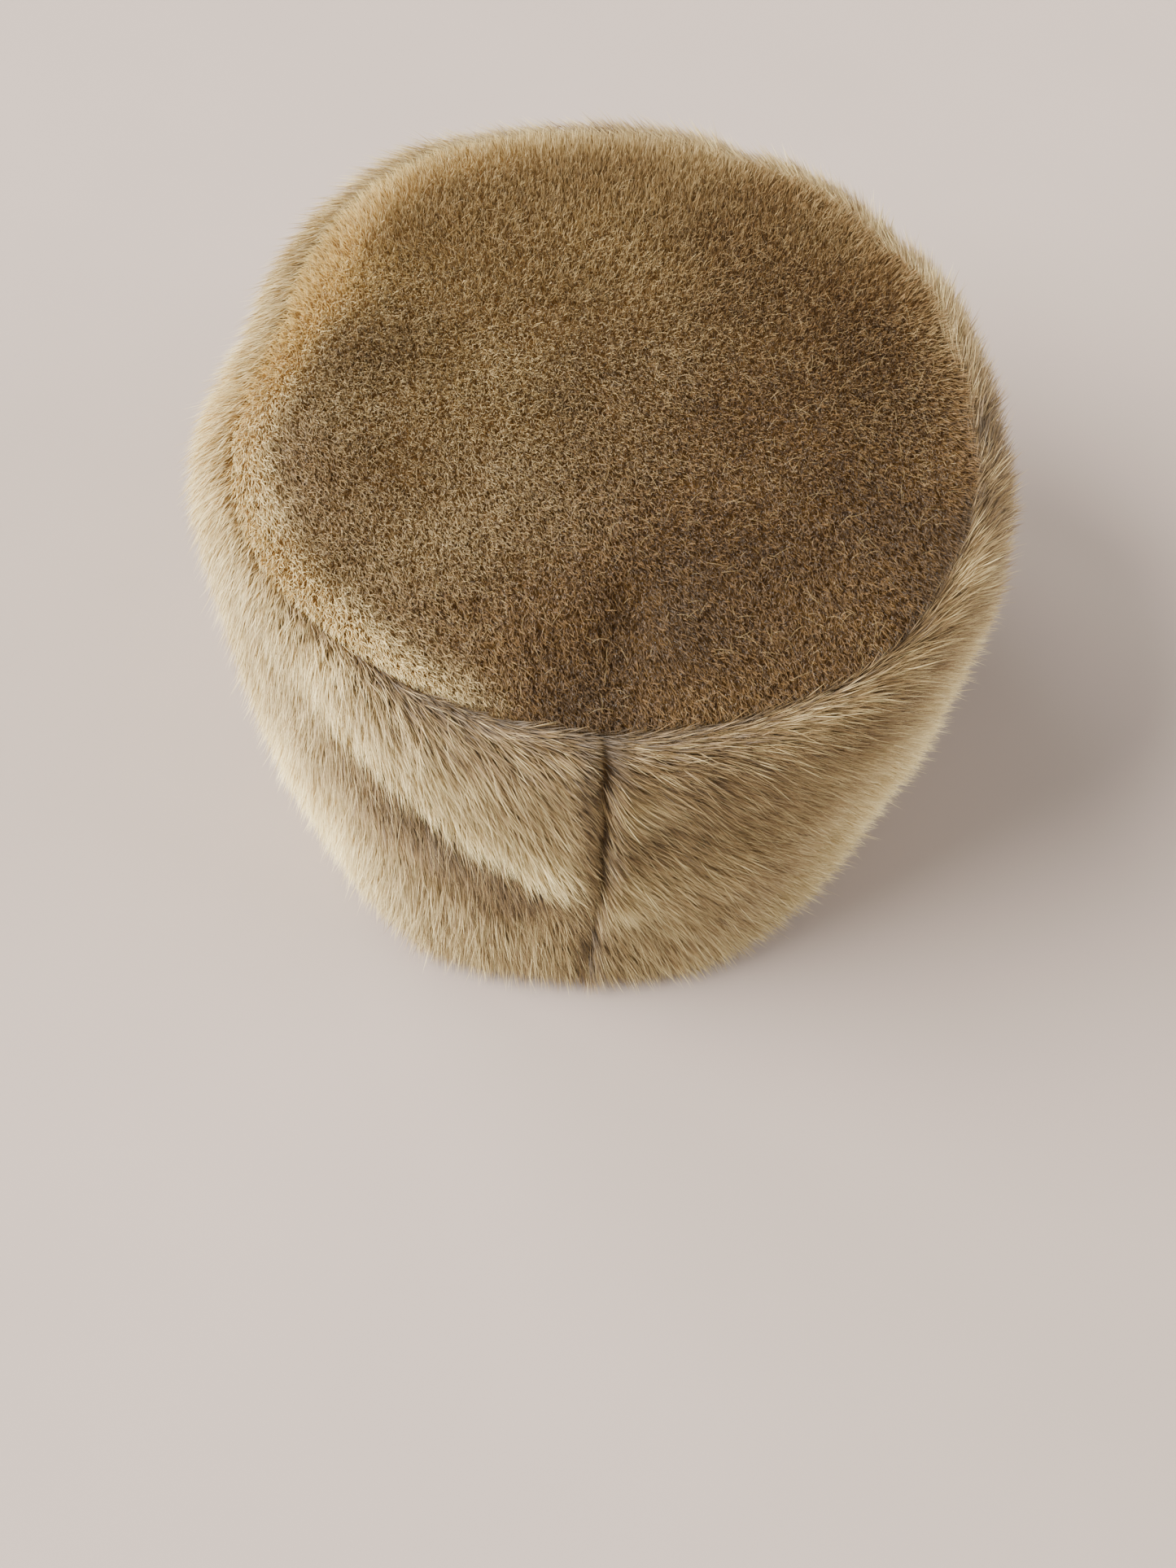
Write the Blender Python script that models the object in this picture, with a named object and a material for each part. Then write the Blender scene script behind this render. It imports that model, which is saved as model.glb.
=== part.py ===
"""Pillbox hat of short plush fur: an oval crown panel set into a one-strip side band.

Metres, +Z up.  The hat stands on its rim, and the origin is the middle of its outline on
the floor.  The front is -Y, and the upright seam that closes the band is at the back, +Y.
A bearing is an angle in degrees round the hat, from the back towards +X.  A rise is a
height as a share of the band's height: 0 at the rim and 1 at the crown seam.
"""
import math

import bmesh
import bpy
import numpy as np

MM = 0.001

# The outer face of the pile: two ovals, with the rim's a little aside under the crown's.
CROWN_HALF_WIDTH = 0.1066
CROWN_HALF_DEPTH = 0.1110
RIM_HALF_WIDTH = 0.0907
RIM_HALF_DEPTH = 0.1115
RIM_SLIDE_X = 0.0025
RIM_SLIDE_Y = 0.0025
BAND_HEIGHT = 0.1086
MID_FULLNESS = 0.33     # how far the band bellies out between its two ovals
OUTLINE_MIDDLE_X = 0.0010   # where the middle of the outline lies from the ovals' own centre
OUTLINE_MIDDLE_Y = 0.0019

# Fur fabric, with its pile, and the soft edges that it makes.
WALL = 0.0090
SHOULDER_DROP = 0.0120  # from the crown seam down to where the side begins
INNER_SHOULDER_DROP = 0.0150
RIM_ROUND = 0.0030
CROWN_DOME = 0.0040

# The two seams draw the pile down into narrow grooves.
SEAM_INSET = 0.0100     # the crown seam's distance in from the outer face
SEAM_GROOVE_DEPTH = 0.0030
SEAM_GROOVE_WIDTH = 0.0030
SEAM_CLEARANCE = 0.0003
BACK_GROOVE_DEPTH = 0.0025
BACK_GROOVE_WIDTH = 0.0022

# Places where the crown seam lies nearer the outer face: bearing, spread (degrees), nearer (mm)
SEAM_SHIFTS = (
    (62.0, 17.0, 3.2),
    (316.0, 17.0, 3.2),
)

# The back seam's course up the band: rise, bearing
BACK_SEAM = (
    (0.00, -2.0),
    (0.40, -1.6),
    (0.80, -1.4),
    (0.96, -0.6),
    (1.00, 0.4),
)

# Broad swells and hollows of the band: bearing, rise, spread (degrees), height (rise), out (mm)
SWELLS = (
    (105.0, 1.00, 15.0, 0.50, -5.2),
    (146.0, 1.00, 19.0, 0.60, 4.0),
    (258.0, 1.00, 17.0, 0.50, -2.6),
    (290.0, 0.75, 11.0, 0.30, 1.8),
    (337.0, 0.00, 14.0, 0.35, 2.6),
    (358.0, 0.00, 10.0, 0.30, -1.0),
    (23.0, 0.00, 16.0, 0.35, 2.4),
    (78.0, 0.85, 11.0, 0.25, 2.0),
    (200.0, 1.00, 4.5, 0.14, -2.2),
    (229.0, 1.00, 4.5, 0.14, -2.2),
    (269.0, 1.00, 4.0, 0.12, -1.4),
    (285.0, 1.00, 4.0, 0.12, -1.4),
)

# Soft folds of the band: from bearing, from rise, to bearing, to rise, width (mm), out (mm)
BAND_FOLDS = (
    (41.0, 0.62, 5.0, 0.48, 10.0, 3.2),
    (38.0, 0.45, 10.0, 0.28, 10.0, -2.0),
    (50.0, 0.36, 27.0, 0.06, 10.0, 1.6),
    (-7.0, 0.40, -23.0, 0.46, 9.0, 1.6),
    (-10.0, 0.71, -26.0, 0.62, 9.0, -1.6),
    (-38.0, 0.80, -62.0, 0.35, 12.0, 1.6),
    (-30.0, 0.20, -46.0, 0.55, 11.0, -1.6),
    (118.0, 0.80, 126.0, 0.30, 12.0, 1.4),
    (165.0, 0.55, 190.0, 0.35, 13.0, -1.2),
    (214.0, 0.85, 206.0, 0.45, 9.0, 1.2),
)

# Soft folds of the crown, in plan: from x, from y, to x, to y, width (mm), up (mm)
CROWN_FOLDS = (
    (-3.0, 97.0, -6.0, 62.0, 7.0, -2.6),
    (19.0, 66.0, 3.0, 60.0, 9.0, 1.2),
    (-34.0, 80.0, -15.0, 68.0, 10.0, 1.0),
    (84.0, 20.0, 64.0, -30.0, 13.0, 1.4),
    (40.0, 28.0, -10.0, 18.0, 22.0, -1.6),
    (-60.0, 10.0, -50.0, -50.0, 16.0, 1.2),
)

# Mesh counts
COLUMNS = 112
SIDE_STEPS = 9
SHOULDER_STEPS = 6
RIM_STEPS = 3
INNER_SIDE_STEPS = 4
INNER_SHOULDER_STEPS = 3
CROWN_STEPS = 15
CROWN_INNER_STEPS = 6
GATHER = 0.75           # share by which the columns close up at the back seam
GATHER_TURN = 0.30      # over this many radians to each side
SEAM_PULL_TURN = 0.50   # the columns follow the seam's course over this many radians
RING_CROWDING = 0.9     # power that spreads the crown's rings, closer at its edge
FOLD_FADE = 6           # power by which the crown's folds die away at its edge

# The ring that the band starts from, before its points are placed
START_RADIUS = 1.0
START_THICKNESS = 0.25


def soft(distance, spread):
    """1 on a line and falling away from it as a bell curve."""
    return np.exp(-(distance / spread) ** 2)


def wrapped(angle):
    """An angle in degrees, brought between -180 and 180."""
    return (angle + 180.0) % 360.0 - 180.0


def line_distance(x, y, start, end):
    """How far the points x, y lie from the straight line between two points."""
    along = np.array(end) - np.array(start)
    share = ((x - start[0]) * along[0] + (y - start[1]) * along[1]) / along.dot(along)
    share = np.clip(share, 0.0, 1.0)
    return np.hypot(x - start[0] - share * along[0], y - start[1] - share * along[1])


def back_seam_bearing(rise):
    """Where the upright seam stands at a rise, in degrees."""
    rises, bearings = zip(*BACK_SEAM)
    return np.interp(rise, rises, bearings)


def around(degrees):
    """An arc of the band, as a length on its mean radius."""
    return np.radians(degrees) * (CROWN_HALF_WIDTH + RIM_HALF_DEPTH) / 2.0


def seam_inset(bearing):
    """How far the crown seam lies in from the outer face."""
    inset = SEAM_INSET + 0.0 * bearing
    for place, spread, nearer in SEAM_SHIFTS:
        inset = inset - nearer * MM * soft(wrapped(bearing - place), spread)
    return inset


def band_relief(bearing, rise):
    """How far the swells and folds push the band's faces out."""
    out = 0.0 * (bearing + rise)
    for place, level, spread, height, push in SWELLS:
        out = out + push * MM * soft(wrapped(bearing - place), spread) * soft(rise - level, height)
    across = around(wrapped(bearing))
    up = rise * BAND_HEIGHT
    for from_bearing, from_rise, to_bearing, to_rise, width, push in BAND_FOLDS:
        start = (around(from_bearing), from_rise * BAND_HEIGHT)
        end = (around(to_bearing), to_rise * BAND_HEIGHT)
        out = out + push * MM * soft(line_distance(across, up, start, end), width * MM)
    return out


def back_groove(bearing, rise):
    """The depth of the back seam's groove in the outer face."""
    aside = around(wrapped(bearing - back_seam_bearing(rise)))
    return BACK_GROOVE_DEPTH * soft(aside, BACK_GROOVE_WIDTH)


def outline(bearing, rise, inset):
    """Plan of the band's outer face at a rise, moved in by an inset.

    The half axes go from the rim's to the crown's with the rise, plus a belly of
    4 * rise * (1 - rise) between them, and the centre slides over as the rise falls.
    """
    share = rise + MID_FULLNESS * 4.0 * rise * (1.0 - rise)
    out = band_relief(bearing, rise) - inset
    half_width = RIM_HALF_WIDTH + (CROWN_HALF_WIDTH - RIM_HALF_WIDTH) * share + out
    half_depth = RIM_HALF_DEPTH + (CROWN_HALF_DEPTH - RIM_HALF_DEPTH) * share + out
    x = half_width * np.sin(np.radians(bearing)) + RIM_SLIDE_X * (1.0 - rise) - OUTLINE_MIDDLE_X
    y = half_depth * np.cos(np.radians(bearing)) + RIM_SLIDE_Y * (1.0 - rise) - OUTLINE_MIDDLE_Y
    return x, y


def seam_groove(distance):
    """The depth of the crown seam's groove at a distance from the seam."""
    return SEAM_GROOVE_DEPTH * soft(distance, SEAM_GROOVE_WIDTH)


def column_bearing(turn, rise):
    """Bearing of a mesh column whose even share of the turn is given in radians.

    The columns close up beside the back seam and lean with its course.
    """
    gathered = turn - GATHER * np.sin(turn) * soft(turn, GATHER_TURN)
    return np.degrees(gathered) + back_seam_bearing(rise) * soft(turn, SEAM_PULL_TURN)


def quarter_turns(first, last, steps):
    """Even angles from one share of a quarter turn to another, both ends included."""
    return [math.pi / 2.0 * (first + (last - first) * i / steps) for i in range(steps + 1)]


def band_section():
    """The band's closed section: rows of wall share, shoulder share, height and face.

    The wall share is 0 on the outer face and 1 on the inner one.  The shoulder share is
    how far the point has gone in towards the crown seam.  The height is in metres from
    the rim.  The face is 1 where the seams' grooves are pressed in and 0 elsewhere.
    The rows climb the outer face, cross the seam's edge, and come down inside.
    """
    side_top = BAND_HEIGHT - SHOULDER_DROP
    inner_side_top = BAND_HEIGHT - INNER_SHOULDER_DROP
    inner_rise = BAND_HEIGHT - WALL - inner_side_top
    round_share = RIM_ROUND / WALL
    rows = []
    for i in range(SIDE_STEPS):
        rows.append((0.0, 0.0, RIM_ROUND + (side_top - RIM_ROUND) * i / SIDE_STEPS, 1.0))
    for angle in quarter_turns(0.0, 1.0, SHOULDER_STEPS):
        rows.append((0.0, 1.0 - math.cos(angle), side_top + SHOULDER_DROP * math.sin(angle), 1.0))
    for angle in quarter_turns(1.0, 0.0, INNER_SHOULDER_STEPS)[:-1]:
        rows.append((1.0, 1.0 - math.cos(angle), inner_side_top + inner_rise * math.sin(angle), 0.0))
    for i in range(INNER_SIDE_STEPS):
        height = inner_side_top + (RIM_ROUND - inner_side_top) * i / INNER_SIDE_STEPS
        rows.append((1.0, 0.0, height, 0.0))
    for angle in quarter_turns(0.0, 1.0, RIM_STEPS):
        turned_in = round_share * (1.0 - math.cos(angle))
        rows.append((1.0 - turned_in, 0.0, RIM_ROUND * (1.0 - math.sin(angle)), 0.0))
    for angle in quarter_turns(1.0, 0.0, RIM_STEPS)[:-1]:
        turned_in = round_share * (1.0 - math.cos(angle))
        rows.append((turned_in, 0.0, RIM_ROUND * (1.0 - math.sin(angle)), 0.0))
    return np.array(rows)


def band_points(turn, row):
    """Where the band's section rows lie on the columns at the given turns."""
    wall, shoulder, height, face = band_section()[row].T
    rise = height / BAND_HEIGHT
    rise = rise + (1.0 - rise) * shoulder
    bearing = column_bearing(turn, rise)
    to_seam = seam_inset(bearing)
    pressed_in = face * back_groove(bearing, rise)
    inset = WALL * wall + (to_seam - WALL * wall) * shoulder + pressed_in * (1.0 - shoulder)
    x, y = outline(bearing, rise, inset)
    from_seam = (to_seam - inset) + (BAND_HEIGHT - height)
    z = height - face * seam_groove(from_seam) - pressed_in * shoulder
    return np.stack([x, y, z], axis=1)


def crown_section():
    """The crown's closed section: rows of reach and side.

    The reach is 0 at the middle of the panel and 1 at its edge.  The side is 0 on the
    outer face and 1 on the inner one.
    """
    rows = []
    for angle in quarter_turns(0.0, 1.0, CROWN_STEPS):
        rows.append((math.sin(angle) ** RING_CROWDING, 0.0))
    for angle in quarter_turns(1.0, 0.0, CROWN_INNER_STEPS):
        rows.append((math.sin(angle), 1.0))
    return np.array(rows)


def crown_relief(x, y):
    """How far the crown's soft folds lift its faces."""
    lift = 0.0 * x
    for from_x, from_y, to_x, to_y, width, push in CROWN_FOLDS:
        start = (from_x * MM, from_y * MM)
        end = (to_x * MM, to_y * MM)
        lift = lift + push * MM * soft(line_distance(x, y, start, end), width * MM)
    return lift


def crown_points(turn, row):
    """Where the crown's section rows lie on the columns at the given turns."""
    reach, side = crown_section()[row].T
    bearing = column_bearing(turn, np.ones_like(turn))
    edge_x, edge_y = outline(bearing, 1.0, seam_inset(bearing) + SEAM_CLEARANCE)
    x = reach * edge_x
    y = reach * edge_y
    from_seam = (1.0 - reach) * np.hypot(edge_x, edge_y)
    z = BAND_HEIGHT + CROWN_DOME * (1.0 - reach ** 2)
    z = z + crown_relief(x, y) * (1.0 - reach ** FOLD_FADE)
    z = z - WALL * side - (1.0 - side) * seam_groove(from_seam)
    return np.stack([x, y, z], axis=1)


def surface_material(name, colour, roughness):
    """A plain pile finish of one colour."""
    material = bpy.data.materials.new(name)
    material.use_nodes = True
    shader = material.node_tree.nodes["Principled BSDF"]
    shader.inputs["Base Color"].default_value = (*colour, 1.0)
    shader.inputs["Roughness"].default_value = roughness
    shader.inputs["Metallic"].default_value = 0.0
    material.diffuse_color = (*colour, 1.0)
    return material


def finish(obj, collection, material):
    """Put a finished object in the hat's collection with its own material, shaded smooth."""
    for home in list(obj.users_collection):
        home.objects.unlink(obj)
    collection.objects.link(obj)
    obj.data.materials.clear()
    obj.data.materials.append(material)
    obj.data.shade_smooth()
    return obj


def vertex_array(mesh):
    """A mesh's vertices as an array of rows."""
    flat = np.empty(len(mesh.vertices) * 3, dtype=np.float64)
    mesh.vertices.foreach_get("co", flat)
    return flat.reshape(-1, 3)


def make_side_band(collection):
    """The side band: a ring whose two turns become the bearing and the section's rows."""
    rows = len(band_section())
    bpy.ops.mesh.primitive_torus_add(major_segments=COLUMNS, minor_segments=rows,
                                     major_radius=START_RADIUS, minor_radius=START_THICKNESS)
    band = bpy.context.active_object
    band.name = "side_band"
    band.data.name = "side_band"
    points = vertex_array(band.data)
    turn = np.arctan2(points[:, 0], points[:, 1])
    from_ring = np.hypot(points[:, 0], points[:, 1]) - START_RADIUS
    section_turn = np.arctan2(points[:, 2], from_ring)
    row = np.rint(section_turn / (2.0 * math.pi) * rows).astype(int) % rows
    band.data.vertices.foreach_set("co", band_points(turn, row).ravel())
    band.data.update()
    return finish(band, collection, surface_material("band_plush", (0.35, 0.26, 0.15), 0.85))


def make_crown_top(collection):
    """The crown panel: a ball pressed to a thin oval lens with a square edge."""
    rows = len(crown_section())
    mesh = bpy.data.meshes.new("crown_top")
    ball = bmesh.new()
    bmesh.ops.create_uvsphere(ball, u_segments=COLUMNS, v_segments=rows - 1, radius=1.0)
    ball.to_mesh(mesh)
    ball.free()
    points = vertex_array(mesh)
    turn = np.arctan2(points[:, 0], points[:, 1])
    from_top = np.arccos(np.clip(points[:, 2], -1.0, 1.0))
    row = np.rint(from_top / math.pi * (rows - 1)).astype(int)
    mesh.vertices.foreach_set("co", crown_points(turn, row).ravel())
    mesh.update()
    crown = bpy.data.objects.new("crown_top", mesh)
    return finish(crown, collection, surface_material("crown_plush", (0.20, 0.12, 0.055), 0.85))


def main():
    for obj in list(bpy.data.objects):
        bpy.data.objects.remove(obj, do_unlink=True)
    collection = bpy.data.collections.new("pillbox_hat")
    bpy.context.scene.collection.children.link(collection)
    make_side_band(collection)
    make_crown_top(collection)


if __name__ == "__main__":
    main()
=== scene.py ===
"""Looks of a pillbox hat: fur fabric under combed pile, its sewn seams, and a plain studio.

Metres, +Z up, in the frame's axes: the hat rests on its rim, its front is -Y, and the
upright seam that closes the band is at the back, +Y.  A bearing is an angle in degrees
round the hat, from the back towards +X.  A rise is a height as a share of the band's.
Each fibre of the pile is one slim bent blade, and all of them are worked out as arrays.
"""

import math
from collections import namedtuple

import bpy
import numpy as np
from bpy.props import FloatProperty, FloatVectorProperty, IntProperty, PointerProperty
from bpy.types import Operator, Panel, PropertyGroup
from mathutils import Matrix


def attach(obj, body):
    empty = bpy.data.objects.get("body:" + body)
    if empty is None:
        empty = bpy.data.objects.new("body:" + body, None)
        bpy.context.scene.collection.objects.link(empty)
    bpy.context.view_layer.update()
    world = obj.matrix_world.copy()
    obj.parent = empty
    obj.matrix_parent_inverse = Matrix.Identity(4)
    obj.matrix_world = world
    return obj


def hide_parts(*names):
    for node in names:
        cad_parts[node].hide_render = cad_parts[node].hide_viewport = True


bl_info = {
    "name": "Plush Pillbox Hat",
    "version": (1, 0, 0),
    "blender": (4, 5, 0),
    "location": "View3D > Sidebar > Hat",
    "description": "Covers a pillbox hat in fur fabric with combed pile, and sets its stage",
    "category": "Object",
}

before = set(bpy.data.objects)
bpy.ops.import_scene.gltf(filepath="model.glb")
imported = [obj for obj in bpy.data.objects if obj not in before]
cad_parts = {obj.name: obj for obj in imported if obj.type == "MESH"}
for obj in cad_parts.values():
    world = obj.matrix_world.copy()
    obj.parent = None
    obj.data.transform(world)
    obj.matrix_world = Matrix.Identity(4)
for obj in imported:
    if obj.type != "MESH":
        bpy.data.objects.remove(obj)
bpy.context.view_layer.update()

BODY = "root"

MM = 0.001

# The outer face of the pile, as the frame's solids have it.
CROWN_HALF_WIDTH = 0.1066
CROWN_HALF_DEPTH = 0.1110
RIM_HALF_WIDTH = 0.0907
RIM_HALF_DEPTH = 0.1115
RIM_SLIDE_X = 0.0025
RIM_SLIDE_Y = 0.0025
BAND_HEIGHT = 0.1086
MID_FULLNESS = 0.33
OUTLINE_MIDDLE_X = 0.0010
OUTLINE_MIDDLE_Y = 0.0019
CROWN_DOME = 0.0040
SEAM_INSET = 0.0100
SEAM_CLEARANCE = 0.0003
BACK_GROOVE_DEPTH = 0.0025
BACK_GROOVE_WIDTH = 0.0022
FOLD_FADE = 6

# Places where the crown seam lies nearer the outer face: bearing, spread (degrees), nearer (mm)
SEAM_SHIFTS = (
    (62, 17, 3.2),
    (316, 17, 3.2),
)

# The back seam's course up the band: rise, bearing
BACK_SEAM = (
    (0.00, -2.0),
    (0.40, -1.6),
    (0.80, -1.4),
    (0.96, -0.6),
    (1.00, 0.4),
)

# Broad swells and hollows of the band: bearing, rise, spread (degrees), height (rise), out (mm)
SWELLS = (
    (105, 1.00, 15.0, 0.50, -5.2),
    (146, 1.00, 19.0, 0.60, 4.0),
    (258, 1.00, 17.0, 0.50, -2.6),
    (290, 0.75, 11.0, 0.30, 1.8),
    (337, 0.00, 14.0, 0.35, 2.6),
    (358, 0.00, 10.0, 0.30, -1.0),
    (23, 0.00, 16.0, 0.35, 2.4),
    (78, 0.85, 11.0, 0.25, 2.0),
    (200, 1.00, 4.5, 0.14, -2.2),
    (229, 1.00, 4.5, 0.14, -2.2),
    (269, 1.00, 4.0, 0.12, -1.4),
    (285, 1.00, 4.0, 0.12, -1.4),
)

# Soft folds of the band: from bearing, from rise, to bearing, to rise, width (mm), out (mm)
BAND_FOLDS = (
    (41, 0.62, 5, 0.48, 10, 3.2),
    (38, 0.45, 10, 0.28, 10, -2.0),
    (50, 0.36, 27, 0.06, 10, 1.6),
    (-7, 0.40, -23, 0.46, 9, 1.6),
    (-10, 0.71, -26, 0.62, 9, -1.6),
    (-38, 0.80, -62, 0.35, 12, 1.6),
    (-30, 0.20, -46, 0.55, 11, -1.6),
    (118, 0.80, 126, 0.30, 12, 1.4),
    (165, 0.55, 190, 0.35, 13, -1.2),
    (214, 0.85, 206, 0.45, 9, 1.2),
)

# Lie of the crown's pile: at x, at y (mm), degrees from upright, turn from the back towards
# -X, paler (share of tone, partly painted light and shade)
CROWN_LIE = (
    (0, 0, 36, 3, 0.08),
    (32, -10, 33, 3, 0.36),
    (-36, 0, 38, 3, -0.08),
    (0, -96, -6, 0, 0.12),
    (-55, -68, 8, 0, 0.06),
    (62, -70, 8, 0, 0.14),
    (84, -42, 24, 8, 0.90),
    (-94, 0, 42, 2, 0.00),
    (-80, 36, 50, 2, -0.34),
    (-55, 74, 50, 2, -0.20),
    (-17, 68, 52, 4, -0.34),
    (0, 98, 57, 9, -0.42),
    (-28, 94, 57, 4, -0.08),
    (46, 84, 60, 20, 0.00),
    (90, 22, 60, 26, -0.02),
    (66, -12, 34, 4, 0.13),
    (97, -22, 40, 18, 0.40),
    (40, 40, 43, 8, 0.12),
    (-35, 45, 43, 3, -0.24),
    (0, -50, 16, 0, 0.28),
    (-45, -45, 20, 0, -0.08),
)

# Where the tips of the band's pile look pale or dark, partly the pile's own patches and partly
# painted light and shade: bearing, rise, spread (degrees), height (rise), paler (share of tone)
BAND_TONES = (
    (88, 0.70, 38, 0.80, 0.42),
    (94, 0.60, 11, 0.40, 0.35),
    (46, 0.18, 13, 0.30, 0.80),
    (30, 0.12, 9, 0.14, 0.05),
    (34, 0.86, 10, 0.10, 0.10),
    (20, 0.83, 8, 0.08, 0.15),
    (28, 0.97, 24, 0.06, -0.50),
    (-9, 0.82, 5, 0.09, 0.45),
    (-9, 0.47, 5, 0.05, 0.25),
    (-9, 0.33, 6, 0.08, 0.30),
    (-20, 0.80, 30, 0.35, -0.22),
    (-29, 0.32, 8, 0.14, -0.15),
    (-18, 0.10, 11, 0.12, -0.15),
    (-54, 0.28, 16, 0.40, 0.55),
    (-50, 0.86, 9, 0.08, -0.22),
    (-85, 0.95, 20, 0.25, -0.25),
    (-75, 0.40, 18, 0.40, 0.25),
    (-145, 0.95, 32, 0.35, 0.28),
)

# Creases of the band's pile, with painted light above and painted shade below: from bearing,
# from rise, to bearing, to rise, paler above (share of tone), over (mm), darker below (share
# of tone), over (mm)
CREASE_LIGHT_AND_SHADE = (
    (40, 0.83, 4, 0.45, 0.55, 15, 0.60, 27),
)
CREASE_SOFTNESS = 1.5       # distance over which a crease turns from pale to dark, in mm
CREASE_END = 8.0            # distance over which it fades past its ends, in mm

# The pile along the crown seam: bearing, how far it parts into an open line, which gets
# painted shade, paler (share of tone: painted light and shade, palest on the side towards the
# window light)
CROWN_SEAM = (
    (-180, 0.0, 0.20),
    (-130, 0.0, -0.15),
    (-110, 0.0, 0.15),
    (-90, 0.0, -0.15),
    (-55, 0.8, -0.10),
    (8, 1.0, 0.00),
    (20, 1.0, 0.50),
    (38, 0.7, 1.50),
    (60, 0.4, 1.70),
    (112, 0.2, 1.80),
    (145, 0.0, 0.50),
    (180, 0.0, 0.20),
)

# Soft folds of the crown, in plan: from x, from y, to x, to y, width (mm), up (mm)
CROWN_FOLDS = (
    (-3, 97, -6, 62, 7, -2.6),
    (19, 66, 3, 60, 9, 1.2),
    (-34, 80, -15, 68, 10, 1.0),
    (84, 20, 64, -30, 13, 1.4),
    (40, 28, -10, 18, 22, -1.6),
    (-60, 10, -50, -50, 16, 1.2),
)

# The two faces of the fur fabric without its pile: how deep a face lies under the pile's
# outer face at the side and at the crown, the height where its shoulder starts, and what
# share of its groove the back seam draws it in.
Face = namedtuple("Face", "side_depth crown_depth shoulder_start drawn_in")
OUTER = Face(0.0050, 0.0045, 0.0966, 0.35)
INNER = Face(0.0090, 0.0090, 0.0936, 0.0)
UNSEAMED = OUTER._replace(drawn_in=0.0)     # the outer face's run, without the back seam's groove
SHOULDER_SHARE = 0.07       # share of a face's climb that its shoulder takes
RIM_LIFT = 0.0024           # the fabric's edge hangs this far up, and the pile closes the gap
RIM_BEND = 0.0015           # radius of the rim's edge

# Lie of the band's pile, by the bearing from the back seam: degrees below level, at the rim
# and at each quarter of the rise.  The fibres run towards a falling bearing.
BAND_LIE = (
    (-180.0, 70, 62, 50, 34, 16),
    (-100.0, 54, 48, 38, 26, 14),
    (-60.0, 48, 42, 32, 22, 12),
    (-25.0, 54, 44, 30, 20, 10),
    (-0.1, 74, 58, 34, 20, 8),
    (0.1, 76, 70, 57, 36, 14),
    (25.0, 74, 70, 57, 38, 20),
    (50.0, 72, 68, 55, 42, 36),
    (90.0, 68, 62, 52, 40, 30),
    (180.0, 70, 62, 50, 34, 16),
)

# How a pile's fibres are drawn: lengths and widths (shares of the pile's), scatter of lie and
# of stand (degrees), tone, what tufts and chance add to it, size of the tufts (share of the
# pile's), how far they draw the tips together, and the seeds of the draws and of the tufts
Fibres = namedtuple("Fibres", "lengths widths scatter tone tuft_tone tone_scatter tuft gather seeds")
BAND_FIBRES = Fibres((0.62, 1.0), (0.7, 1.2), (12, 6), 0.19, 0.22, 0.18, 1.0, 0.22, (11, 21))
CROWN_FIBRES = Fibres((0.9, 1.04), (0.6, 1.1), (14, 8), 0.14, 0.06, 0.09, 0.45, 0.07, (12, 22))
BEND = 0.55                 # where along its length a fibre bends
ROLL = 0.6                  # scatter of a fibre's turn about itself, in radians

# The band's fibres
BAND_STANDS = (45.0, 26.0)  # degrees off the band, up to the bend and past it
SEAM_FLATTENS = (0.45, 0.5) # shares of these that the crown seam takes off where it is open
SEAM_FLAT = 3.0             # distance from the seam over which it does, in mm
TIP_LIFT = 1.3              # lift past the bend, for each degree before it
TUFT_TURN = 12.0            # degrees by which the lie of tufts differs at most
TUFT_LONGER = 0.22          # share by which a tuft's middle is longer than its edge
# Painted light on the band's swells and painted shade in its hollows
RELIEF_LIGHT_AND_SHADE = 0.05          # share of tone for each mm that the band swells
COVERED = 0.75              # share of its length that a fibre covers
SIDE_FIBRES = 0.86          # share of the fibres that stand below the shoulder
SHOULDER_RUN = 9.0          # way over the shoulder up to the crown seam, in mm
BACK_SEAM_OVER = (0.3, 2.2) # how far over the back seam the fibres may come, in mm

# What sets the band's guard hairs apart: lift (degrees), and shares longer, paler and narrower
Guard = namedtuple("Guard", "lift longer paler narrower")
GUARD = Guard(5.0, 0.15, 0.4, 0.25)

# The crown's fibres
CROWN_BENDS = (-0.15, 0.25) # added to their lean up to the bend and past it, in radians
CROWN_SCATTER = 0.17        # how far their directions scatter
CROWN_OVER = (0.9, 4.0)     # how far they may come over the seam, and more where it is shut, in mm

SHADE_END = 0.25            # share of the tones that are deep shade

LATTICE = 4096              # entries in a table of random numbers, a power of two
LATTICE_STEPS = (73856093, 19349663, 83492791)


def soft(distance, spread):
    """1 on a line and falling away from it as a bell curve."""
    return np.exp(-(distance / spread) ** 2)


def wrapped(angle):
    """An angle in degrees, brought between -180 and 180."""
    return (angle + 180.0) % 360.0 - 180.0


def unit(vectors):
    """Vectors scaled to length 1."""
    return vectors / np.linalg.norm(vectors, axis=-1, keepdims=True)


def line_distance(x, y, start, end):
    """How far the points x, y lie from the straight line between two points."""
    along = np.array(end) - np.array(start)
    share = ((x - start[0]) * along[0] + (y - start[1]) * along[1]) / along.dot(along)
    share = np.clip(share, 0.0, 1.0)
    return np.hypot(x - start[0] - share * along[0], y - start[1] - share * along[1])


def back_seam_bearing(rise):
    """Where the upright seam stands at a rise, in degrees."""
    rises, bearings = zip(*BACK_SEAM)
    return np.interp(rise, rises, bearings)


def around(degrees):
    """An arc of the band, as a length on its mean radius."""
    return np.radians(degrees) * (CROWN_HALF_WIDTH + RIM_HALF_DEPTH) / 2.0


def unrolled(bearing, rise):
    """A place of the band as the way round it and the way up it."""
    return around(bearing), rise * BAND_HEIGHT


def seam_inset(bearing):
    """How far the crown seam lies in from the outer face."""
    inset = SEAM_INSET + 0.0 * bearing
    for place, spread, nearer in SEAM_SHIFTS:
        inset = inset - nearer * MM * soft(wrapped(bearing - place), spread)
    return inset


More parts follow.
